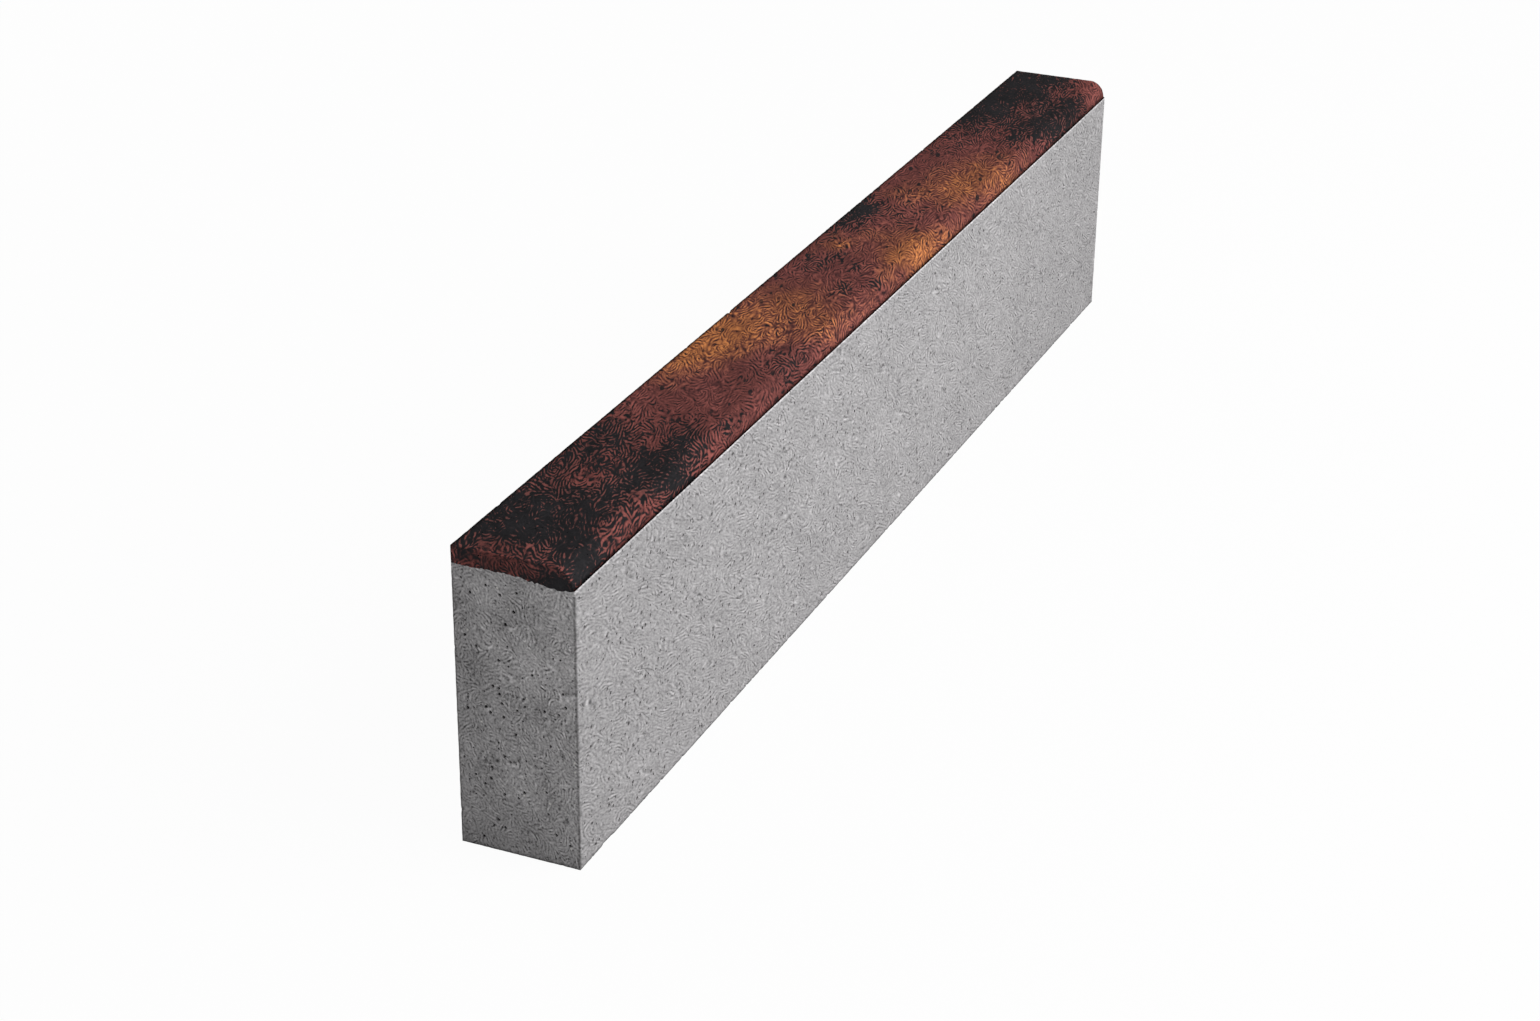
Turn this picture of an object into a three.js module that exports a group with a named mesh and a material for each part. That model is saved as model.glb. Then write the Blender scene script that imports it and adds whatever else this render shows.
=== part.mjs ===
// A straight concrete kerb with one rounded top edge, pressed in a steel mould from two mixes.
// The grey base mix fills nearly the whole mould. A thin coloured face mix goes on top of it while it is
// still wet, and the press shoe forms the flat top, the rounded edge and a narrow land along the mould wall.
// The two mixes set as one stone, and meet in a bedding surface that sags under the rounded edge.
//
// Frame, in millimetres: X along the kerb, Y from the road side (-Y, with the rounded edge) to the
// pavement side (+Y), Z up. The origin is the centre of the underside.
import * as THREE from "three";

// The stone
const LENGTH = 1000; // along X
const WIDTH = 80; // along Y
const HEIGHT = 200; // along Z

// The rounded edge, and the land that the rim of the press shoe leaves beside the mould wall
const EDGE_RADIUS = 12.5;
const LAND_WIDTH = 1.3; // from the road-side wall to the foot of the rounding
const LAND_DROP = 0.7; // from the foot of the rounding down to the arris at the wall

// The coloured face mix: its depth below the flat top, and where, measured from the road-side wall
const FACE_THICKNESS = 11.5; // from the end of the sag to the pavement side
const SAG_THICKNESS = 14.5; // at the deepest line of the sag
const SAG_OFFSET = 11; // to the deepest line of the sag
const SAG_END = 40; // to where the bedding levels out

// Chords on each curve of the section
const EDGE_CHORDS = 16;
const BEDDING_CHORDS = 8;

const ROAD_SIDE = -WIDTH / 2;
const PAVEMENT_SIDE = WIDTH / 2;
const FOOT = new THREE.Vector2(ROAD_SIDE + LAND_WIDTH, HEIGHT - EDGE_RADIUS); // of the rounding, on the land
const ARRIS = new THREE.Vector2(ROAD_SIDE, FOOT.y - LAND_DROP); // the colour ends here on the road side

const BASE_CONCRETE = new THREE.MeshStandardMaterial({ color: 0xa5a4a4, roughness: 0.92, metalness: 0 });
const FACE_CONCRETE = new THREE.MeshStandardMaterial({ color: 0x6b3b2c, roughness: 0.8, metalness: 0 });

// The section of the bedding surface, from the road-side arris to the pavement side. Both mixes are drawn
// with these same points, so they meet face to face.
function beddingLine() {
  const sagLevel = HEIGHT - SAG_THICKNESS;
  const faceLevel = HEIGHT - FACE_THICKNESS;
  const midRise = ROAD_SIDE + (SAG_OFFSET + SAG_END) / 2;
  const line = new THREE.Path();
  line.moveTo(ARRIS.x, ARRIS.y);
  line.quadraticCurveTo(ROAD_SIDE + SAG_OFFSET / 2, sagLevel, ROAD_SIDE + SAG_OFFSET, sagLevel);
  line.bezierCurveTo(midRise, sagLevel, midRise, faceLevel, ROAD_SIDE + SAG_END, faceLevel);
  line.lineTo(PAVEMENT_SIDE, faceLevel);
  return line.getPoints(BEDDING_CHORDS);
}

// The base mix: square to the mould on three sides, with the bedding surface on top.
function baseSection() {
  const section = new THREE.Shape(beddingLine());
  section.lineTo(PAVEMENT_SIDE, 0);
  section.lineTo(ROAD_SIDE, 0);
  section.closePath();
  return section;
}

// The face mix: the bedding surface below, and the pressed top above. The land closes the section.
function faceSection() {
  const section = new THREE.Shape(beddingLine());
  section.lineTo(PAVEMENT_SIDE, HEIGHT);
  section.lineTo(FOOT.x + EDGE_RADIUS, HEIGHT);
  section.absarc(FOOT.x + EDGE_RADIUS, FOOT.y, EDGE_RADIUS, Math.PI / 2, Math.PI);
  section.closePath();
  return section;
}

// A section drawn in Y and Z, run the length of the kerb.
function prism(name, section, material) {
  const geometry = new THREE.ExtrudeGeometry(section, {
    depth: LENGTH,
    bevelEnabled: false,
    curveSegments: EDGE_CHORDS / 2, // an arc gets two chords for each
  });
  const [x, y, z] = [0, 1, 2].map((axis) => new THREE.Vector3().setComponent(axis, 1));
  geometry.applyMatrix4(new THREE.Matrix4().makeBasis(y, z, x).setPosition(-LENGTH / 2, 0, 0));
  const mesh = new THREE.Mesh(geometry, material);
  mesh.name = name;
  return mesh;
}

const kerb = new THREE.Group();
kerb.add(prism("base_concrete", baseSection(), BASE_CONCRETE));
kerb.add(prism("face_concrete", faceSection(), FACE_CONCRETE));

export default kerb;
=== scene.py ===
"""A pressed concrete kerb, 1 m long: a grey base mix with a coloured face mix on top, cured as one stone.

Shapes are worked out in millimetres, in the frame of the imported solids: x along the kerb, y from the road
side to the pavement side, z up. They turn into metres where a mesh is made.
"""
import math

import bpy
import numpy as np
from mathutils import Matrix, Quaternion, Vector
from mathutils.geometry import delaunay_2d_cdt


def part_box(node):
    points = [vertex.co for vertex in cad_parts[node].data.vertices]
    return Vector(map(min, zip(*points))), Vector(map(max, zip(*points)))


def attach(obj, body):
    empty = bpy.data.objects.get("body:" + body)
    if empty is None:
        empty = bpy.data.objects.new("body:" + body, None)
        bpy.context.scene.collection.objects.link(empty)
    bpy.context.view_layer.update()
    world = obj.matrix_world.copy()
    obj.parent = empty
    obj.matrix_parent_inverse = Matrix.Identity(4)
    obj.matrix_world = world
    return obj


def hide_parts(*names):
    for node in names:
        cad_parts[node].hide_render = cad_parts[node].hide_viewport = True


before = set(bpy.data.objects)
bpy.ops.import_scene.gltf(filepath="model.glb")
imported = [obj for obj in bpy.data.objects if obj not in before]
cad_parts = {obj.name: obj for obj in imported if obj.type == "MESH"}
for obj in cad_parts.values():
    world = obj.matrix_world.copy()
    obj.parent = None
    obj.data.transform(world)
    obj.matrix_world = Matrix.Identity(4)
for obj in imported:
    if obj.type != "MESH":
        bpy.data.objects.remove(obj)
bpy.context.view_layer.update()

# ---------------------------------------------------------------------------------------------------------
# The base mix. Semi-dry concrete of grey cement, sand and fine grit, rammed and shaken in a steel mould and
# let out at once. Air that could not get out leaves small round pores in its walls, and the fresh edges
# crumble a little as the mould comes off.
# ---------------------------------------------------------------------------------------------------------
MM = 0.001  # metres in a millimetre

base_low, base_high = (np.array(corner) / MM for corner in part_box("base_concrete"))
face_low, face_high = (np.array(corner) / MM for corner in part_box("face_concrete"))
NEAR_X, ROAD_Y, BED_Z = base_low
FAR_X, PAVEMENT_Y, FACE_BOTTOM_Z = base_high
TOP_Z = face_high[2]
SAG_Z = face_low[2]  # the lowest line of the bedding surface between the two mixes

EDGE_RADIUS = 12.5  # of the rounded edge on the road side
LAND_WIDTH = 1.3  # the flat strip between the rounding and the mould wall
LAND_DROP = 0.7  # of that strip, towards the wall
ARRIS_Z = TOP_Z - EDGE_RADIUS - LAND_DROP  # the road-side arris, where the colour ends
SAG_OFFSET = 11.0  # from the road side to the deepest line of the sag
SAG_END = 40.0  # from the road side to where the bedding levels out

EDGE_PITCH = 1.5  # between points along an edge
FULL_WEAR = 0.45  # the wear at which an edge shows as fully rubbed
JOINT_PITCH = 0.6  # between points along the line where the two mixes meet
SAND_ROUGHNESS, GRIT_ROUGHNESS = 1.15, 0.5  # how far that line strays up and down, at the size of each
SHARP_ANGLE = 48  # degrees; an edge of a mesh that turns more than this stays sharp

X, Y, Z = np.eye(3)

HASH_STEPS = np.array([73856093, 19349663, 83492791])  # along each axis
SEED_STEP, STIR_FACTOR = 7919, 1274126177
LOW_32_BITS, LOW_16_BITS = 0xFFFFFFFF, 0xFFFF


def noise(points, pitch, seed):
    """Value noise from -1 to 1: a hashed number at each corner of a lattice of that pitch, blended across
    the cell by 3t² - 2t³ along each axis."""
    scaled = points / pitch
    cell = np.floor(scaled).astype(np.int64)
    t = scaled - cell
    t = t * t * (3 - 2 * t)
    total = np.zeros(len(points))
    for corner in np.ndindex(2, 2, 2):
        key = (cell + corner) @ HASH_STEPS + seed * SEED_STEP
        key = (key ^ (key >> 13)) * STIR_FACTOR & LOW_32_BITS
        value = ((key ^ (key >> 16)) & LOW_16_BITS) / (LOW_16_BITS / 2) - 1
        total += value * np.prod(np.where(corner, t, 1 - t), axis=1)
    return total


def edge_wear(points):
    """How far an edge is worn in, in mm: a fine crumbled rounding, deepened where noise peaks into nicks."""
    crumble = 0.26 + 0.07 * noise(points, 2.2, 1)
    nicks = 1.2 * np.maximum(noise(points, 3.1, 2) - 0.62, 0)
    chips = 1.6 * np.maximum(noise(points, 9.0, 3) - 0.72, 0)
    return crumble + nicks + chips


def worn_edge(true_line, inward, start_corner=None, end_corner=None):
    """The middle of a rounded edge: each point of the sharp edge moves in by its wear along both faces'
    inward directions, and the ends that are corners of the stone also move in along the edge."""
    wear = edge_wear(true_line)[:, None]
    line = true_line + wear * inward
    if start_corner is not None:
        line[0] += wear[0] * start_corner
    if end_corner is not None:
        line[-1] += wear[-1] * end_corner
    return line


def straight(start, end, pitch):
    """Evenly spaced points from start to end, about one pitch apart."""
    start, end = np.array(start, float), np.array(end, float)
    count = max(2, round(np.linalg.norm(end - start) / pitch) + 1)
    return start + (end - start) * np.linspace(0, 1, count)[:, None]


def bedding_z(y):
    """Height of the bedding surface: from the arris it dips along a parabola to the sag's deepest line, and
    from there it rises along 3t² - 2t³ to the face mix's even thickness."""
    d = y - ROAD_Y
    dip = SAG_Z + (ARRIS_Z - SAG_Z) * (1 - np.minimum(d / SAG_OFFSET, 1)) ** 2
    t = np.clip((d - SAG_OFFSET) / (SAG_END - SAG_OFFSET), 0, 1)
    return dip + (FACE_BOTTOM_Z - SAG_Z) * t * t * (3 - 2 * t)


def joint_line(start, end):
    """The line where the two mixes meet on a wall: the bedding height, roughened by noise at the size of
    the sand and of the grit, and held at both ends."""
    line = straight(start, end, JOINT_PITCH)
    line[:, 2] = bedding_z(line[:, 1])
    rough = SAND_ROUGHNESS * noise(line, 1.8, 4) + GRIT_ROUGHNESS * noise(line, 5.5, 5)
    ends = np.sin(np.pi * np.linspace(0, 1, len(line))) ** 0.25
    line[:, 2] += rough * ends
    line[0], line[-1] = start, end
    return line


def chain(*lines):
    """Closes lines that run on from each other into one border, with each shared end point taken once."""
    return np.concatenate([line[:-1] for line in lines])


def planar(u, v, n, level):
    """A flat face of the stone: the point at (u, v), sunk by depth, is u·U + v·V + (level - depth)·N."""

    def place(flat, depth):
        return flat[:, :1] * u + flat[:, 1:] * v + (level - depth)[:, None] * n

    return place


ROW_INSET, ROW_INSET_PER_WEAR = 0.9, 1.6  # of a skin's second row, from its border
WARP, WARP_PITCH = 0.45, 3.2  # of a skin's lattice, in its own pitches
RIM_POINTS = 8  # round the rim of a pore, and round its wall
WALL_RING, WALL_DEPTH, FLOOR_DEPTH = 0.84, 0.9, 1.25  # of a pore, in radii of its rim
RIM_WOBBLE = 0.2  # how far a rim strays from its radius, as a share of it
SMALL_PORES = 1.4  # the power that makes small pores the more common
INSIDE_BORDER = 1  # asks for the triangles inside the border, and no others
SAME_POINT = 1e-6  # a distance within which points are taken for one


def skin(border, flat_border, place, rng, pitch, jitter, pore_share, pore_radius, relief, margin=2.6):
    """One face of the stone as a height field over its own flat plane, joined into triangles by Delaunay.
    The border keeps its given points. A second row lies inside it, where the edge's rounding runs out. Each
    cell of a square lattice, warped by noise so that no rows show, holds one point or a pore if it lies in
    from the border by the margin. A pore is a rim, a ring of wall and a floor, each deeper than the last.
    Elsewhere the depth is the relief. Returns the points, the triangles, which points lie in a pore (1, or
    else 0) and how worn an edge each point lies on, from 0 to 1."""
    ahead = np.roll(flat_border, -1, axis=0) - np.roll(flat_border, 1, axis=0)
    inward = np.stack([-ahead[:, 1], ahead[:, 0]], 1) / np.linalg.norm(ahead, axis=1, keepdims=True)
    sunk = np.linalg.norm(border - place(flat_border, np.zeros(len(border))), axis=1)
    second_row = flat_border + inward * (ROW_INSET + ROW_INSET_PER_WEAR * sunk)[:, None]

    low, high = flat_border.min(0), flat_border.max(0)
    cells = np.maximum(np.round((high - low) / pitch).astype(int), 1)
    lattice = np.stack(np.meshgrid(*(np.arange(n) + 0.5 for n in cells), indexing="ij"), -1).reshape(-1, 2)
    lattice = low + lattice * (high - low) / cells + rng.uniform(-jitter, jitter, (len(lattice), 2))
    unwarped = np.column_stack([lattice, np.zeros(len(lattice))])
    lattice += WARP * pitch * np.stack([noise(unwarped, WARP_PITCH * pitch, seed) for seed in (51, 52)], 1)
    top_edge = np.interp(lattice[:, 0], *upper_side(flat_border))
    room = np.min([lattice[:, 0] - low[0], high[0] - lattice[:, 0],
                   lattice[:, 1] - low[1], top_edge - lattice[:, 1]], axis=0)
    lattice = lattice[room > margin]
    room = room[room > margin]
    porous = (rng.random(len(lattice)) < pore_share) & (room > margin + pore_radius[1])
    plain, centres = lattice[~porous], lattice[porous]

    smallest, largest = pore_radius
    radius = smallest + (largest - smallest) * rng.random(len(centres)) ** SMALL_PORES
    turn = np.arange(RIM_POINTS) * math.tau / RIM_POINTS + rng.uniform(0, math.pi, (len(centres), 1))
    wobble = rng.uniform(1 - RIM_WOBBLE, 1 + RIM_WOBBLE, (len(centres), RIM_POINTS))
    ring = (radius[:, None] * wobble)[..., None] * np.stack([np.cos(turn), np.sin(turn)], -1)
    rim = (centres[:, None] + ring).reshape(-1, 2)
    wall = (centres[:, None] + WALL_RING * ring).reshape(-1, 2)

    flat = np.concatenate([flat_border, second_row, plain, rim, wall, centres])
    rows_end = 2 * len(border)
    wall_start = rows_end + len(plain) + len(rim)
    floor_start = wall_start + len(wall)
    depth = relief(place(flat, np.zeros(len(flat))))
    depth[:rows_end] = 0
    depth[wall_start:floor_start] += WALL_DEPTH * np.repeat(radius, RIM_POINTS)
    depth[floor_start:] += FLOOR_DEPTH * radius
    pore = np.zeros(len(flat))
    pore[wall_start:] = 1
    worn = np.zeros(len(flat))
    worn[:len(border)] = np.minimum(sunk / FULL_WEAR, 1)
    points = place(flat, depth)
    points[:len(border)] = border
    made = delaunay_2d_cdt(flat, [], [list(range(len(border)))], INSIDE_BORDER, SAME_POINT)
    return points, np.array(made[2]), pore, worn


def upper_side(flat_border):
    """The upper side of a border, as u and v with u growing: the points between its two top corners."""
    middle = flat_border[:, 1] > (flat_border[:, 1].min() + flat_border[:, 1].max()) / 2
    upper = flat_border[middle]
    upper = upper[np.argsort(upper[:, 0])]
    return upper[:, 0], upper[:, 1]


def stone_mesh(name, skins):
    """One closed mesh from the skins, with the points that agree to 4 decimals of a millimetre merged.
    Returns the object and its points in mm."""
    starts = np.cumsum([0] + [len(made[0]) for made in skins])
    points = np.concatenate([made[0] for made in skins])
    triangles = np.concatenate([made[1] + start for made, start in zip(skins, starts)])
    _, first, merged = np.unique(np.round(points, 4), axis=0, return_index=True, return_inverse=True)
    triangles = merged.reshape(-1)[triangles]
    mesh = bpy.data.meshes.new(name)
    mesh.from_pydata(points[first] * MM, [], triangles)
    for measure, place in (("pore", 2), ("worn", 3)):
        values = np.concatenate([made[place] for made in skins])[first]
        mesh.attributes.new(measure, "FLOAT", "POINT").data.foreach_set("value", values.astype(np.float32))
    mesh.shade_smooth()
    mesh.set_sharp_from_angle(angle=math.radians(SHARP_ANGLE))
    piece = bpy.data.objects.new(name, mesh)
    bpy.context.scene.collection.objects.link(piece)
    return piece, points[first]


# Corners and edges of the base mix. The joint with the face mix is its upper border on every wall.
NEAR_ROAD, NEAR_PAVEMENT = (NEAR_X, ROAD_Y), (NEAR_X, PAVEMENT_Y)
FAR_ROAD, FAR_PAVEMENT = (FAR_X, ROAD_Y), (FAR_X, PAVEMENT_Y)


def foot_edge(start, end, inward):
    """An edge of the underside, worn, with a corner of the stone at both ends."""
    true_line = straight((*start, BED_Z), (*end, BED_Z), EDGE_PITCH)
    along = (true_line[-1] - true_line[0]) / np.linalg.norm(true_line[-1] - true_line[0])
    return worn_edge(true_line, inward + Z, along, -along)


foot_road = foot_edge(NEAR_ROAD, FAR_ROAD, Y)
foot_pavement = foot_edge(NEAR_PAVEMENT, FAR_PAVEMENT, -Y)
foot_near = foot_edge(NEAR_ROAD, NEAR_PAVEMENT, X)
foot_far = foot_edge(FAR_ROAD, FAR_PAVEMENT, -X)

arris = worn_edge(straight((*NEAR_ROAD, ARRIS_Z), (*FAR_ROAD, ARRIS_Z), EDGE_PITCH), Y - Z, X, -X)


def upright(corner, top_z, inward):
    """A vertical edge of the base mix. Only its foot is a corner: the stone goes on above it."""
    return worn_edge(straight((*corner, BED_Z), (*corner, top_z), EDGE_PITCH), inward, Z)


upright_near_road = upright(NEAR_ROAD, ARRIS_Z, X + Y)
upright_far_road = upright(FAR_ROAD, ARRIS_Z, Y - X)
upright_near_pavement = upright(NEAR_PAVEMENT, FACE_BOTTOM_Z, X - Y)
upright_far_pavement = upright(FAR_PAVEMENT, FACE_BOTTOM_Z, -X - Y)
upright_near_road[-1] = arris[0]
upright_far_road[-1] = arris[-1]


def end_joint(x, road_end, pavement_end):
    """The joint across an end of the stone, flush with it except where it meets the worn uprights."""
    line = joint_line(road_end, pavement_end)
    line[1:-1, 0] = x
    return line


joint_near = end_joint(NEAR_X, arris[0], upright_near_pavement[-1])
joint_far = end_joint(FAR_X, arris[-1], upright_far_pavement[-1])
joint_pavement = joint_line(upright_near_pavement[-1], upright_far_pavement[-1])
joint_pavement[1:-1, 1] = PAVEMENT_Y


def wall_relief(points):
    """Depth below the mould wall, in mm: slow waves, and a shallow grain at the size of the grit."""
    return 0.1 + 0.06 * noise(points, 70, 6) + 0.04 * noise(points, 11, 7)


def base_skin(border, u, v, n, level, seed, pore_share, pore_radius):
    """A flat wall of the base mix, with pores in that share of its lattice cells."""
    return skin(
        border,
        np.stack([border @ u, border @ v], 1),
        planar(u, v, n, level),
        np.random.default_rng(seed),
        pitch=4.6,
        jitter=1.0,
        pore_share=pore_share,
        pore_radius=pore_radius,
        relief=wall_relief,
    )


def bedding_skin(border, facing_up, seed):
    """The hidden surface between the two mixes: the bedding height over x and y, with a coarse lattice."""
    v = Y if facing_up else -Y

    def place(flat, depth):
        y = flat[:, 1] * v[1]
        return np.stack([flat[:, 0], y, bedding_z(y)], 1)

    return skin(
        border,
        np.stack([border[:, 0], border @ v], 1),
        place,
        np.random.default_rng(seed),
        pitch=10,
        jitter=1,
        pore_share=0,
        pore_radius=(0.4, 0.4),
        relief=lambda points: np.zeros(len(points)),
        margin=4,
    )


LONG_SIDE_PORES, END_PORES = (0.7, 1.5), (0.55, 1.25)  # the smallest and the largest radius
base_skins = [
    base_skin(chain(foot_road, upright_far_road, arris[::-1], upright_near_road[::-1]),
              X, Z, -Y, -ROAD_Y, seed=11, pore_share=0.19, pore_radius=LONG_SIDE_PORES),
    base_skin(chain(foot_pavement[::-1], upright_near_pavement, joint_pavement, upright_far_pavement[::-1]),
              -X, Z, Y, PAVEMENT_Y, seed=12, pore_share=0.15, pore_radius=LONG_SIDE_PORES),
    base_skin(chain(foot_near[::-1], upright_near_road, joint_near, upright_near_pavement[::-1]),
              -Y, Z, -X, -NEAR_X, seed=13, pore_share=0.16, pore_radius=END_PORES),
    base_skin(chain(foot_far, upright_far_pavement, joint_far[::-1], upright_far_road[::-1]),
              Y, Z, X, FAR_X, seed=14, pore_share=0.16, pore_radius=END_PORES),
    base_skin(chain(foot_pavement, foot_far[::-1], foot_road[::-1], foot_near),
              X, -Y, -Z, -BED_Z, seed=15, pore_share=0.04, pore_radius=END_PORES),
    bedding_skin(chain(arris, joint_far, joint_pavement[::-1], joint_near[::-1]), facing_up=True, seed=16),
]
base, _ = stone_mesh("base_mix", base_skins)


def linear(hex_colour):
    """An sRGB hex colour as linear RGBA, by the sRGB curve."""
    srgb = np.array([int(hex_colour[i:i + 2], 16) for i in (1, 3, 5)]) / 255
    return (*np.where(srgb > 0.04045, ((srgb + 0.055) / 1.055) ** 2.4, srgb / 12.92), 1)


def per(size):
    """The scale of a texture node whose cells or lumps measure that many millimetres."""
    return 1 / (size * MM)


def material(name):
    """An empty node material with its shader and output joined: returns it, its node tree and the shader."""
    made = bpy.data.materials.new(name)
    made.use_nodes = True
    return made, made.node_tree, made.node_tree.nodes["Principled BSDF"]


def add(tree, kind, inputs=None, **settings):
    """Adds a node and returns its outputs: settings are its properties, and inputs its sockets by name or
    number, each given a value or a link."""
    node = tree.nodes.new("ShaderNode" + kind)
    for key, value in settings.items():
        setattr(node, key, value)
    for key, value in (inputs or {}).items():
        if isinstance(value, bpy.types.NodeSocket):
            tree.links.new(value, node.inputs[key])
        else:
            node.inputs[key].default_value = value
    return node.outputs


# Semi-dry pressed concrete, straight from a steel mould: a dry, matt cement skin, even grey from afar, with
# soft damp-looking clouds, a sandy grain, whorls of the slurry, and pinholes and pores in painted shade.
# The marks are drawn out aslant the kerb. Painted shade darkens the foot and the kerb's two ends, painted
# light and shade run across the end plates, which leave a coarser grain, a painted highlight pales the
# arris, and painted shade darkens the other edges. Grain and whorls are coarser than real, so that they
# show.
MARKS_SLANT = math.radians(-27)
MARKS_DRAWN_OUT = (0.4, 1, 1)
MOTTLE_DEPTH, GRAIN_DEPTH = 0.22, 1.3
base_material, tree, shader = material("semi_dry_pressed_concrete")
where, normal = (add(tree, "TexCoord")[output] for output in ("Object", "Normal"))
slanted = add(tree, "VectorRotate", {"Vector": where, "Angle": MARKS_SLANT}, rotation_type="Y_AXIS")[0]
drawn_out = add(tree, "Mapping", {"Vector": slanted, "Scale": MARKS_DRAWN_OUT})[0]
clouds = add(tree, "TexNoise", {"Vector": drawn_out, "Scale": per(36), "Detail": 3})[0]
mottle = add(tree, "TexNoise", {"Vector": drawn_out, "Scale": per(8), "Detail": 3})[0]
grain = add(tree, "TexNoise", {"Vector": drawn_out, "Scale": per(1.3), "Detail": 2})[0]
facing_x = add(tree, "SeparateXYZ", {0: normal})[0]
along_x, across_y, height_z = add(tree, "SeparateXYZ", {0: where})
pore = add(tree, "Attribute", attribute_name="pore")["Fac"]
worn = add(tree, "Attribute", attribute_name="worn")["Fac"]

# Whorls: waves 2 mm long that turn with a coarser noise, strong in some patches and weak in others.
turning = add(tree, "TexNoise", {"Vector": drawn_out, "Scale": per(14), "Detail": 1})["Color"]
heading = add(tree, "VectorMath", {0: turning, 1: (0.5, 0.5, 0.5)}, operation="SUBTRACT")[0]
waves = add(tree, "TexGabor", {"Vector": drawn_out, "Scale": per(4), "Frequency": 2.0, "Anisotropy": 1.0,
                               "Orientation 3D": heading}, gabor_type="3D")["Value"]
whorls = add(tree, "Math", {0: waves, 1: 0.5}, operation="SUBTRACT")[0]
whorl_depth = add(tree, "MapRange", {"Value": mottle, "From Min": 0.38, "From Max": 0.62, "To Min": 0.68,
                                     "To Max": 1.8})[0]

# Pinholes, most of them under 0.4 mm across and the largest 1.4 mm, and a few pale flecks of fine limestone,
# in cells of 3.4 mm.
pin_cells = add(tree, "TexVoronoi", {"Vector": where, "Scale": per(3.4)})
pin_sizes = add(tree, "SeparateColor", {0: pin_cells["Color"]})
pin_radius = add(tree, "Math", {0: pin_sizes[0], 1: 2.5}, operation="POWER")[0]
past_pin = add(tree, "Math", {0: pin_radius, 1: -0.2, 2: pin_cells["Distance"]}, operation="MULTIPLY_ADD")[0]
pins = add(tree, "MapRange", {"Value": past_pin, "From Min": 0.06, "From Max": 0.0})[0]
is_fleck = add(tree, "Math", {0: pin_sizes[1], 1: 0.88}, operation="GREATER_THAN")[0]
flecks = add(tree, "Math", {0: pins, 1: is_fleck}, operation="MULTIPLY")[0]

# shade = (1 + marks · (1 + 0.5 · |Normal.x|)) · foot shade · contact shade · shade to ends · end plate shade
# · edge highlight and shade. The marks are clouds, mottle, grain and whorls, each about its middle. The
# other
# factors are painted light and shade: painted shade darkens the foot and the last stretches of the kerb, and
# across the end plates their road side is painted paler and their pavement side darker.
end_plate = add(tree, "Math", {0: facing_x}, operation="ABSOLUTE")[0]
cloud_depth = add(tree, "MapRange", {"Value": end_plate, "To Min": 0.3, "To Max": 0.85})[0]
marks = -0.5 * (MOTTLE_DEPTH + GRAIN_DEPTH)
clouds = add(tree, "Math", {0: clouds, 1: 0.5}, operation="SUBTRACT")[0]
for mark, its_depth in ((clouds, cloud_depth), (mottle, MOTTLE_DEPTH), (grain, GRAIN_DEPTH),
                        (whorls, whorl_depth)):
    marks = add(tree, "Math", {0: mark, 1: its_depth, 2: marks}, operation="MULTIPLY_ADD")[0]
coarser = add(tree, "Math", {0: end_plate, 1: 0.5, 2: 1.0}, operation="MULTIPLY_ADD")[0]
shade = add(tree, "Math", {0: marks, 1: coarser, 2: 1.0}, operation="MULTIPLY_ADD")[0]
# Painted shade: the lower 80 mm darkens towards the bottom, the more on the end plates.
foot_shade_level = add(tree, "MapRange", {"Value": end_plate, "To Min": 0.96, "To Max": 0.78})[0]
foot_shade = add(tree, "MapRange", {"Value": height_z, "From Min": 0.0, "From Max": 0.08, "To Min": foot_shade_level,
                              "To Max": 1.0})[0]
# Painted shade: darker over the last stretches of the kerb.
from_middle = add(tree, "Math", {0: along_x}, operation="ABSOLUTE")[0]
shade_to_ends = add(tree, "MapRange", {"Value": from_middle, "From Min": 0.2, "From Max": 0.5, "To Min": 1.0,
                              "To Max": 0.9})[0]
# Painted light and shade across the end plates: paler on the road side, darker on the pavement side.
end_plate_shade = add(tree, "MapRange", {"Value": across_y, "From Min": ROAD_Y * MM, "From Max": PAVEMENT_Y * MM,
                               "To Min": 0.12, "To Max": -0.12})[0]
end_plate_shade = add(tree, "Math", {0: end_plate_shade, 1: end_plate, 2: 1.0}, operation="MULTIPLY_ADD")[0]
# Painted highlight and painted shade on the worn edges: the arris is painted pale, and the other edges
# darker.
arris_highlight_edge_shade = add(tree, "MapRange", {"Value": height_z, "From Min": (ARRIS_Z - 4) * MM, "To Min": -0.7,
                                    "From Max": (ARRIS_Z - 1.5) * MM, "To Max": 1.0})[0]
edge_band = add(tree, "Math", {0: worn}, operation="SQRT")[0]
edge_highlight_and_shade = add(tree, "Math", {0: edge_band, 1: arris_highlight_edge_shade, 2: 1.0}, operation="MULTIPLY_ADD")[0]
# Painted shade: the bottom 3 mm is darker still.
contact_shade = add(tree, "MapRange", {"Value": height_z, "From Max": 3 * MM, "To Min": 0.6, "To Max": 1.0})[0]
for factor in (foot_shade, contact_shade, shade_to_ends, end_plate_shade, edge_highlight_and_shade):
    shade = add(tree, "Math", {0: shade, 1: factor}, operation="MULTIPLY")[0]

grey = add(tree, "VectorMath", {0: linear("#aba9aa")[:3], "Scale": shade}, operation="SCALE")[0]
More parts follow.
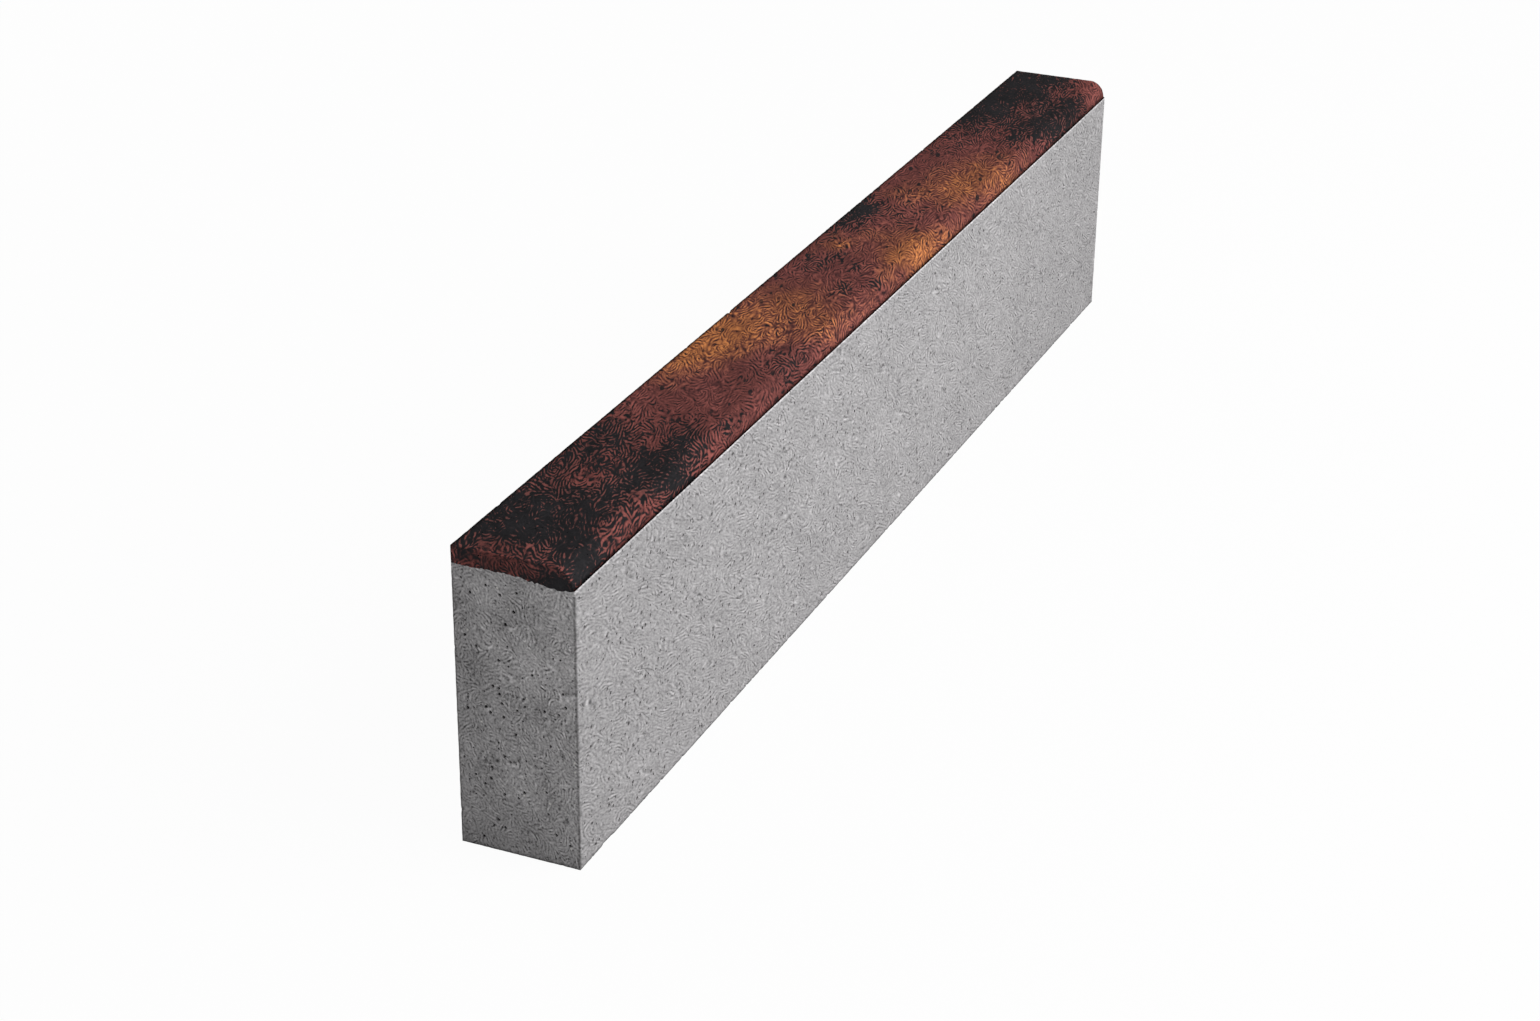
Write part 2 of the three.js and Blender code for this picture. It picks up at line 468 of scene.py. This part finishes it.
# Pinholes and pores are painted dark, painted shade in their hollows, the pinholes less so on the end
# plates.
pinhole_shade_level = add(tree, "MapRange", {"Value": end_plate, "To Min": 0.92, "To Max": 0.66})[0]
pinhole_shade = add(tree, "Math", {0: pins, 1: pinhole_shade_level}, operation="MULTIPLY")[0]
pore_shade = add(tree, "MapRange", {"Value": pore, "From Min": 0.75, "To Max": 0.95})[0]
colour = add(tree, "Mix", {"Factor": pinhole_shade, 6: grey, 7: linear("#3a3939")}, data_type="RGBA")[2]
colour = add(tree, "Mix", {"Factor": flecks, 6: colour, 7: linear("#cfcdca")}, data_type="RGBA")[2]
colour = add(tree, "Mix", {"Factor": pore_shade, 6: colour, 7: linear("#0e0d0d")}, data_type="RGBA")[2]
height = add(tree, "Math", {0: grain, 1: 0.6}, operation="MULTIPLY")[0]
height = add(tree, "Math", {0: mottle, 1: 0.5, 2: height}, operation="MULTIPLY_ADD")[0]
height = add(tree, "Math", {0: pins, 1: -0.8, 2: height}, operation="MULTIPLY_ADD")[0]
bump = add(tree, "Bump", {"Height": height, "Distance": 0.25 * MM, "Strength": 0.8})[0]
tree.links.new(colour, shader.inputs["Base Color"])
tree.links.new(bump, shader.inputs["Normal"])
shader.inputs["Roughness"].default_value = 0.93
shader.inputs["Specular IOR Level"].default_value = 0.25
base.data.materials.append(base_material)

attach(base, "root")
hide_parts("base_concrete")

# ---------------------------------------------------------------------------------------------------------
# The face mix. Fine sand, cement and iron-oxide pigments in black, red and ochre, poured on the base mix in
# turn without stirring, so that they cloud into each other. The press shoe forms its flat top, the rounded
# edge and the narrow land beside the mould wall.
# ---------------------------------------------------------------------------------------------------------
ROUNDING_AXIS = np.array([ROAD_Y + LAND_WIDTH + EDGE_RADIUS, TOP_Z - EDGE_RADIUS])  # its y and z
TOP_RUN = PAVEMENT_Y - ROUNDING_AXIS[0]  # over the flat top, from the pavement side
ARC_RUN = EDGE_RADIUS * math.pi / 2
LAND_RUN = math.hypot(LAND_WIDTH, LAND_DROP)
SECTION_RUN = TOP_RUN + ARC_RUN + LAND_RUN


def section(s):
    """The pressed section, run along from the pavement side's top corner: flat for TOP_RUN, a quarter
    circle for ARC_RUN, then the land down to the arris. Returns y and z, and the outward normal's."""
    turned = np.clip((s - TOP_RUN) / EDGE_RADIUS, 0, math.pi / 2)
    normal = np.stack([-np.sin(turned), np.cos(turned)], 1)
    point = ROUNDING_AXIS + EDGE_RADIUS * normal
    point[:, 0] += np.maximum(TOP_RUN - s, 0)
    down_land = np.maximum(s - TOP_RUN - ARC_RUN, 0)[:, None]
    land = np.array([-LAND_WIDTH, -LAND_DROP]) / LAND_RUN
    normal = np.where(down_land > 0, [land[1], -land[0]], normal)
    return point + down_land * land, normal


def pressed_place(flat, depth):
    """The pressed surface unrolled: (x, -s) stands for the point at s along the section, sunk by depth."""
    point, normal = section(-flat[:, 1])
    return np.column_stack([flat[:, 0], point - depth[:, None] * normal])


def pressed_edge(x, inward_x):
    """The edge between an end of the stone and its pressed surface, from the back corner to the arris."""
    s = np.linspace(0, SECTION_RUN, round(SECTION_RUN / JOINT_PITCH) + 1)
    point, normal = section(s)
    true_line = np.column_stack([np.full(len(s), x), point])
    line = worn_edge(true_line, np.column_stack([np.full(len(s), inward_x), -normal]), -Y)
    return line, s


crown_near, crown_runs = pressed_edge(NEAR_X, 1.0)
crown_far, _ = pressed_edge(FAR_X, -1.0)
crown_near[-1], crown_far[-1] = arris[0], arris[-1]
back_edge = worn_edge(straight((NEAR_X, PAVEMENT_Y, TOP_Z), (FAR_X, PAVEMENT_Y, TOP_Z), EDGE_PITCH),
                      -Y - Z, X, -X)
crown_near[0], crown_far[0] = back_edge[0], back_edge[-1]


def face_upright(joint_end, corner, true_corner, inward):
    """A pavement-side vertical edge of the face mix, from the joint up to the top corner."""
    true_line = straight((*true_corner, joint_end[2]), (*true_corner, TOP_Z), EDGE_PITCH)
    line = worn_edge(true_line, inward)
    line[0], line[-1] = joint_end, corner
    return line


face_upright_near = face_upright(joint_pavement[0], back_edge[0], NEAR_PAVEMENT, X - Y)
face_upright_far = face_upright(joint_pavement[-1], back_edge[-1], FAR_PAVEMENT, -X - Y)


def pressed_relief(points):
    """Depth below the press shoe, in mm: slow waves, and the grain of the sand."""
    return 0.2 + 0.1 * noise(points, 45, 21) + 0.05 * noise(points, 5, 22) + 0.05 * noise(points, 2.1, 23)


def face_skin(border, flat_border, place, seed):
    """A skin of the face mix, with the finer grain and the fewer, smaller pores of its sand."""
    return skin(border, flat_border, place, np.random.default_rng(seed), pitch=1.75, jitter=0.35,
                pore_share=0.035, pore_radius=(0.3, 0.6), relief=pressed_relief, margin=1.9)


def end_skin(border, u, n, level, seed):
    """An end of the face mix, or its strip of the pavement side: a flat wall above the joint."""
    return face_skin(border, np.stack([border @ u, border @ Z], 1), planar(u, Z, n, level), seed)


pressed_border = chain(arris, crown_far[::-1], back_edge[::-1], crown_near)
pressed_runs = np.concatenate([np.full(len(arris) - 1, SECTION_RUN), crown_runs[:0:-1],
                               np.zeros(len(back_edge) - 1), crown_runs[:-1]])
EDGE_SETBACK = 0.3  # how far the unrolled border lies in from the section's two ends
pressed_flat = np.column_stack([pressed_border[:, 0],
                                -np.clip(pressed_runs, EDGE_SETBACK, SECTION_RUN - EDGE_SETBACK)])

face_skins = [
    face_skin(pressed_border, pressed_flat, pressed_place, seed=31),
    end_skin(chain(joint_pavement[::-1], face_upright_near, back_edge, face_upright_far[::-1]),
             -X, Y, PAVEMENT_Y, seed=32),
    end_skin(chain(joint_near[::-1], crown_near[::-1], face_upright_near[::-1]), -Y, -X, -NEAR_X, seed=33),
    end_skin(chain(joint_far, face_upright_far, crown_far), Y, X, FAR_X, seed=34),
    bedding_skin(chain(joint_pavement, joint_far[::-1], arris[::-1], joint_near), facing_up=False, seed=35),
]
face, face_points = stone_mesh("face_mix", face_skins)

# Clouds of pigment, as (from the near end, from the pavement side, half length, half width, strength), all
# but the last in mm. Red fills what black and ochre leave, and the red clouds part the black.
BLACK_CLOUDS = (
    (50, 30, 120, 62, 0.9),
    (20, 79, 34, 19, 1.0),
    (26, 32, 34, 44, 0.8),
    (165, 12, 45, 28, 0.6),
    (125, 54, 30, 13, 0.6),
    (142, 70, 40, 21, 0.97),
    (196, 58, 34, 9, 0.5),
    (235, 76, 16, 10, 0.5),
    (312, 66, 24, 16, 0.35),
    (352, 76, 40, 14, 0.38),
    (455, 54, 13, 9, 0.6),
    (484, 68, 12, 8, 0.6),
    (500, 46, 16, 9, 0.4),
    (508, 22, 34, 16, 0.45),
    (615, 2, 54, 23, 1.0),
    (620, 46, 40, 14, 0.35),
    (800, 15, 60, 18, 0.3),
    (832, 62, 28, 11, 0.4),
    (895, 8, 42, 24, 0.8),
    (930, 20, 112, 57, 1.0),
    (990, 14, 40, 36, 1.0),
    (890, 72, 65, 22, 0.85),
)
OCHRE_CLOUDS = (
    (338, 10, 57, 27, 1.0),
    (410, 30, 52, 34, 0.38),
    (395, 68, 42, 22, 0.36),
    (465, 76, 26, 8, 0.2),
    (543, 15, 18, 12, 0.45),
    (575, 42, 45, 20, 0.22),
    (554, 74, 40, 20, 0.8),
    (610, 84, 40, 10, 0.3),
    (672, 20, 30, 26, 0.2),
    (714, 55, 62, 32, 0.46),
    (750, 78, 55, 20, 0.3),
)
RED_CLOUDS = (
    (-8, 31, 20, 40, 0.46),
    (78, 78, 25, 9, 0.22),
    (990, 84, 30, 17, 1.0),
    (118, 30, 26, 12, 0.45),
    (906, 36, 26, 10, 0.32),
    (950, 57, 45, 10, 0.25),
)
CLOUDS_LEAN = 0.6  # how far across a cloud moves for each mm that it runs down a wall


def pigment(points, clouds):
    """How much of one pigment lies at each point, from 0 to 1: clouds fall off as a bell, exp(-r²), over a
    plane that noise has warped, and where they overlap the rest of the way to 1 is shared. Below the top,
    the way down counts in part as a way across, so that the clouds lean on the walls."""
    along = points[:, 0] - NEAR_X
    across = PAVEMENT_Y - points[:, 1] + CLOUDS_LEAN * (TOP_Z - points[:, 2])
    along = along + 14 * noise(points, 34, 41) + 6 * noise(points, 11, 42)
    across = across + 7 * noise(points, 27, 43) + 4 * noise(points, 9, 44)
    left = np.ones(len(points))
    for cloud_along, cloud_across, half_length, half_width, strength in clouds:
        r2 = ((along - cloud_along) / half_length) ** 2 + ((across - cloud_across) / half_width) ** 2
        left *= 1 - strength * np.exp(-r2)
    return 1 - left


EDGE_SHADE_WIDTH = 1.75  # of the dark line painted along the back edge and the arris: a painted shade line
red = pigment(face_points, RED_CLOUDS)
shares = {
    "black_pigment": pigment(face_points, BLACK_CLOUDS) * (1 - red),
    "ochre_pigment": pigment(face_points, OCHRE_CLOUDS),
}
# Painted shade: a dark line within a few mm of the back edge and of the arris.
to_back_edge = np.hypot(PAVEMENT_Y - face_points[:, 1], TOP_Z - face_points[:, 2])
to_arris = np.hypot(face_points[:, 1] - ROAD_Y, face_points[:, 2] - ARRIS_Z)
shares["painted_edge_shade"] = np.exp(-((np.minimum(to_back_edge, to_arris) / EDGE_SHADE_WIDTH) ** 2))
for name, share in shares.items():
    attribute = face.data.attributes.new(name, "FLOAT", "POINT")
    attribute.data.foreach_set("value", share.astype(np.float32))

# Pigmented fine concrete, pressed and not polished: closed and matt. The pigments lie in smooth washes with
# curled lines of about a millimetre across them, drawn out aslant the kerb as the hopper moved: black lines
# and dashes over red and ochre, and thin, veiled red lines where black has covered the rest. The end plates
# smear them. Lines and grain are coarser than real, so that they show.
STROKES_SLANT = math.radians(-18)
STROKES_DRAWN_OUT = (0.45, 1, 1)
STROKE_DEPTH = 1.9
face_material, tree, shader = material("pigmented_face_concrete")
where, normal = (add(tree, "TexCoord")[output] for output in ("Object", "Normal"))
slanted = add(tree, "VectorRotate", {"Vector": where, "Angle": STROKES_SLANT}, rotation_type="Z_AXIS")[0]
drawn_out = add(tree, "Mapping", {"Vector": slanted, "Scale": STROKES_DRAWN_OUT})[0]
broken = add(tree, "TexNoise", {"Vector": drawn_out, "Scale": per(3), "Detail": 2})[0]
patchy = add(tree, "TexNoise", {"Vector": drawn_out, "Scale": per(13), "Detail": 2})[0]
depth = add(tree, "TexNoise", {"Vector": drawn_out, "Scale": per(32), "Detail": 2})[0]
grain = add(tree, "TexNoise", {"Vector": where, "Scale": per(1.3), "Detail": 1})[0]
facing = add(tree, "SeparateXYZ", {0: normal})
end_plate = add(tree, "Math", {0: facing[0]}, operation="ABSOLUTE")[0]
smear = add(tree, "MapRange", {"Value": end_plate, "To Min": 1.0, "To Max": 0.35})[0]
pore = add(tree, "Attribute", attribute_name="pore")["Fac"]
black = add(tree, "Attribute", attribute_name="black_pigment")["Fac"]
ochre = add(tree, "Attribute", attribute_name="ochre_pigment")["Fac"]
edge_shade = add(tree, "Attribute", attribute_name="painted_edge_shade")["Fac"]

# Light and dark strokes of one pigment: waves 2 mm long that turn with a coarser noise.
turning = add(tree, "TexNoise", {"Vector": drawn_out, "Scale": per(12), "Detail": 1})["Color"]
heading = add(tree, "VectorMath", {0: turning, 1: (0.5, 0.45, 0.5)}, operation="SUBTRACT")[0]
waves = add(tree, "TexGabor", {"Vector": drawn_out, "Scale": per(4), "Frequency": 2.1, "Anisotropy": 1.0,
                               "Orientation 3D": heading}, gabor_type="3D")["Value"]
waves = add(tree, "Math", {0: waves, 1: STROKE_DEPTH, 2: -0.5 * STROKE_DEPTH}, operation="MULTIPLY_ADD")[0]
breaks = add(tree, "Math", {0: broken, 1: 0.5}, operation="SUBTRACT")[0]
strokes = add(tree, "Math", {0: waves, 1: breaks}, operation="ADD")[0]
calm = add(tree, "MapRange", {"Value": depth, "From Min": 0.38, "From Max": 0.6, "To Min": 0.55,
                              "To Max": 1.15})[0]
strokes = add(tree, "Math", {0: strokes, 1: calm}, operation="MULTIPLY")[0]
strokes = add(tree, "Math", {0: strokes, 1: smear, 2: 0.5}, operation="MULTIPLY_ADD")[0]
bright = add(tree, "MapRange", {"Value": strokes, "From Min": 0.15, "From Max": 1.0},
             interpolation_type="SMOOTHSTEP")[0]

# Lines: the same waves, and sin³(2π · bands · noise), thin at both ends of its range. They are black lines
# where there is little black pigment, and red lines where there is much. A finer noise breaks them up.
LINE_BANDS = 6
swirl = add(tree, "TexNoise", {"Vector": drawn_out, "Scale": per(7), "Detail": 1, "Roughness": 0.4})[0]
phase = add(tree, "Math", {0: swirl, 1: 2 * math.pi * LINE_BANDS}, operation="MULTIPLY")[0]
lines = add(tree, "Math", {0: phase}, operation="SINE")[0]
lines = add(tree, "Math", {0: lines, 1: 3}, operation="POWER")[0]
unbroken = add(tree, "MapRange", {"Value": broken, "From Min": 0.35, "From Max": 0.6, "To Min": 0.1,
                                  "To Max": 0.4})[0]
lines = add(tree, "Math", {0: lines, 1: unbroken}, operation="MULTIPLY")[0]
lines = add(tree, "Math", {0: breaks, 1: 0.7, 2: lines}, operation="MULTIPLY_ADD")[0]
lines = add(tree, "Math", {0: waves, 1: 1.5, 2: lines}, operation="MULTIPLY_ADD")[0]
lines = add(tree, "Math", {0: lines, 1: smear}, operation="MULTIPLY")[0]

# over = 1.3 · black - 0.72 + patchy - 0.5 less the lines, and black_mask runs from 0 to 1 about its zero.
level = add(tree, "Math", {0: patchy, 1: -0.5 - 0.72}, operation="ADD")[0]
level = add(tree, "Math", {0: black, 1: 1.3, 2: level}, operation="MULTIPLY_ADD")[0]
over = add(tree, "Math", {0: level, 1: lines}, operation="SUBTRACT")[0]
black_mask = add(tree, "MapRange", {"Value": over, "From Min": -0.3, "From Max": 0.2},
                 interpolation_type="SMOOTHSTEP")[0]

# Black dashes, up to 3 mm wide and three times as long, in cells of 6 by 17 mm. They crowd where the wash is
# calm and dark.
DASHES_DRAWN_OUT = (0.35, 1, 1)
dash_place = add(tree, "Mapping", {"Vector": slanted, "Scale": DASHES_DRAWN_OUT})[0]
dash_cells = add(tree, "TexVoronoi", {"Vector": dash_place, "Scale": per(6)})
dash_size = add(tree, "SeparateColor", {0: dash_cells["Color"]})[0]
dash_size = add(tree, "Math", {0: dash_size, 1: 2}, operation="POWER")[0]
to_dash = dash_cells["Distance"]
past_dash = add(tree, "Math", {0: dash_size, 1: -0.28, 2: to_dash}, operation="MULTIPLY_ADD")[0]
dashes = add(tree, "MapRange", {"Value": past_dash, "From Min": 0.06, "From Max": 0.0})[0]
crowded = add(tree, "MapRange", {"Value": depth, "From Min": 0.58, "From Max": 0.44, "To Max": 0.92})[0]
dashes = add(tree, "Math", {0: dashes, 1: crowded}, operation="MULTIPLY")[0]
black_mask = add(tree, "Math", {0: black_mask, 1: dashes}, operation="MAXIMUM")[0]

# ochre_share = 1.15 · ochre + 0.4 · patchy - 0.25, with the strokes' contrast where there is ochre at all.
warmth = add(tree, "Math", {0: ochre, 1: 1.15, 2: -0.25}, operation="MULTIPLY_ADD")[0]
warmth = add(tree, "Math", {0: patchy, 1: 0.4, 2: warmth}, operation="MULTIPLY_ADD")[0]
contrast = add(tree, "MapRange", {"Value": ochre, "From Max": 0.44, "To Max": 0.6})[0]
stroke_wave = add(tree, "Math", {0: strokes, 1: 0.5}, operation="SUBTRACT")[0]
ochre_share = add(tree, "Math", {0: stroke_wave, 1: contrast, 2: warmth}, operation="MULTIPLY_ADD")[0]
ochre_mask = add(tree, "MapRange", {"Value": ochre_share}, interpolation_type="SMOOTHSTEP")[0]

slate = add(tree, "Math", {0: bright, 1: 0.5, 2: patchy}, operation="MULTIPLY_ADD")[0]
reds, ochres, blacks = (
    add(tree, "Mix", {"Factor": tone, 6: linear(dark), 7: linear(pale)}, data_type="RGBA")[2]
    for tone, dark, pale in (
        (bright, "#4b2e2e", "#92554f"),
        (bright, "#673d31", "#dc8d55"),
        (slate, "#171718", "#2c2b2d"),
    )
)
veil = add(tree, "MapRange", {"Value": black, "From Min": 0.5, "From Max": 0.9, "To Max": 0.5})[0]
colour = add(tree, "Mix", {"Factor": ochre_mask, 6: reds, 7: ochres}, data_type="RGBA")[2]
colour = add(tree, "Mix", {"Factor": veil, 6: colour, 7: linear("#3d3939")}, data_type="RGBA")[2]
colour = add(tree, "Mix", {"Factor": black_mask, 6: colour, 7: blacks}, data_type="RGBA")[2]

# shade = (0.3 + 0.7 · grain + 0.7 · depth) less the painted shade line along the back edge and the arris.
# It is painted paler on the ends, painted light, and on the rounded edge, a painted sheen.
shade = add(tree, "Math", {0: grain, 1: 0.7, 2: 0.3}, operation="MULTIPLY_ADD")[0]
shade = add(tree, "Math", {0: depth, 1: 0.7, 2: shade}, operation="MULTIPLY_ADD")[0]
outside_edge_shade = add(tree, "MapRange", {"Value": edge_shade, "From Max": 0.75, "To Min": 1.0, "To Max": 0.04})[0]
end_light = add(tree, "MapRange", {"Value": end_plate, "To Min": 1.0, "To Max": 1.25})[0]
rounding_sheen = add(tree, "MapRange", {"Value": facing[1], "From Min": 0.0, "From Max": -0.4,
                                       "To Min": 1.0, "To Max": 1.13})[0]
for factor in (outside_edge_shade, end_light, rounding_sheen):
    shade = add(tree, "Math", {0: shade, 1: factor}, operation="MULTIPLY")[0]
colour = add(tree, "VectorMath", {0: colour, "Scale": shade}, operation="SCALE")[0]
# Pores are painted near black: painted shade in their hollows.
pore_shade = add(tree, "Math", {0: pore, 1: 0.9}, operation="MULTIPLY")[0]
colour = add(tree, "Mix", {"Factor": pore_shade, 6: colour, 7: linear("#0e0c0c")}, data_type="RGBA")[2]
height = add(tree, "Math", {0: broken, 1: grain}, operation="ADD")[0]
bump = add(tree, "Bump", {"Height": height, "Distance": 0.15 * MM, "Strength": 0.8})[0]
tree.links.new(colour, shader.inputs["Base Color"])
tree.links.new(bump, shader.inputs["Normal"])
shader.inputs["Roughness"].default_value = 0.9
shader.inputs["Specular IOR Level"].default_value = 0.015
face.data.materials.append(face_material)

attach(face, "root")
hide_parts("face_concrete")

# ---------------------------------------------------------------------------------------------------------
# The studio: a pale floor under a white sky, one broad soft lamp on the road side and a weaker one on the
# pavement side, and a camera that looks down along the kerb.
# ---------------------------------------------------------------------------------------------------------
CAMERA_PLACE = Vector((-1.796, -0.709, 0.946))
CAMERA_AIM = Vector((-0.193, -0.029, 0.1))
CAMERA_ROLL = math.radians(0.7)
FOCAL_LENGTH, SENSOR_WIDTH = 67.8, 36  # mm

camera = bpy.data.objects.new("camera", bpy.data.cameras.new("camera"))
camera.data.sensor_width = SENSOR_WIDTH
camera.data.lens = FOCAL_LENGTH
camera.location = CAMERA_PLACE
camera.rotation_mode = "QUATERNION"
level_view = (CAMERA_AIM - CAMERA_PLACE).to_track_quat("-Z", "Y")
camera.rotation_quaternion = level_view @ Quaternion((0, 0, 1), CAMERA_ROLL)
bpy.context.scene.collection.objects.link(camera)
bpy.context.scene.camera = camera


LAMPS_AIM = Vector((0, 0, 0.1))  # the middle of the kerb


def softbox(name, place, size, power):
    """A square area lamp at that place, facing the kerb: its side in metres and its power in watts."""
    lamp = bpy.data.objects.new(name, bpy.data.lights.new(name, "AREA"))
    lamp.data.shape = "SQUARE"
    lamp.data.size = size
    lamp.data.energy = power
    lamp.location = place
    lamp.rotation_mode = "QUATERNION"
    lamp.rotation_quaternion = (LAMPS_AIM - Vector(place)).to_track_quat("-Z", "Y")
    bpy.context.scene.collection.objects.link(lamp)


softbox("road_side_lamp", place=(0.15, -2.2, 1.9), size=1.9, power=58.5)
softbox("pavement_side_lamp", place=(1.4, 3.2, 0.9), size=1.8, power=30)

FLOOR_REACH = 30  # m, from the middle to each side
floor_mesh = bpy.data.meshes.new("floor")
floor_corners = [(x * FLOOR_REACH, y * FLOOR_REACH, 0) for x, y in ((-1, -1), (1, -1), (1, 1), (-1, 1))]
floor_mesh.from_pydata(floor_corners, [], [(0, 1, 2, 3)])
floor = bpy.data.objects.new("floor", floor_mesh)
bpy.context.scene.collection.objects.link(floor)


def seen(tree):
    """1 for rays that show a thing, from a camera, a gloss or a glass, and 0 for those that carry light."""
    path = add(tree, "LightPath")
    in_gloss_or_glass = add(tree, "Math", {0: path["Is Glossy Ray"], 1: path["Is Transmission Ray"]},
                            operation="MAXIMUM")[0]
    return add(tree, "Math", {0: path["Is Camera Ray"], 1: in_gloss_or_glass}, operation="MAXIMUM")[0]


# Matt white studio paper. Most of what a camera, a gloss or a glass shows of it is its own even white, and
# the rest takes the lamps' light and the stone's shadow.
EVEN_WHITE = 0.96
floor_material, tree, shader = material("matt_paper")
shader.inputs["Base Color"].default_value = linear("#ececec")
shader.inputs["Roughness"].default_value = 1.0
share = add(tree, "Math", {0: seen(tree), 1: EVEN_WHITE}, operation="MULTIPLY")[0]
glow = add(tree, "Emission", {"Color": (1, 1, 1, 1), "Strength": 1.0})[0]
surface = add(tree, "MixShader", {0: share, 1: shader.outputs[0], 2: glow})[0]
tree.links.new(surface, tree.nodes["Material Output"].inputs["Surface"])
floor.data.materials.append(floor_material)

# A white sky: full white where it is seen, and less than that as light.
SKY_LIGHT = 0.35
world = bpy.data.worlds.new("white_sky")
bpy.context.scene.world = world
world.use_nodes = True
tree = world.node_tree
strength = add(tree, "MapRange", {"Value": seen(tree), "To Min": SKY_LIGHT, "To Max": 1.0})[0]
background = tree.nodes["Background"]
background.inputs["Color"].default_value = (1, 1, 1, 1)
tree.links.new(strength, background.inputs["Strength"])

bpy.context.scene.view_settings.view_transform = "Standard"
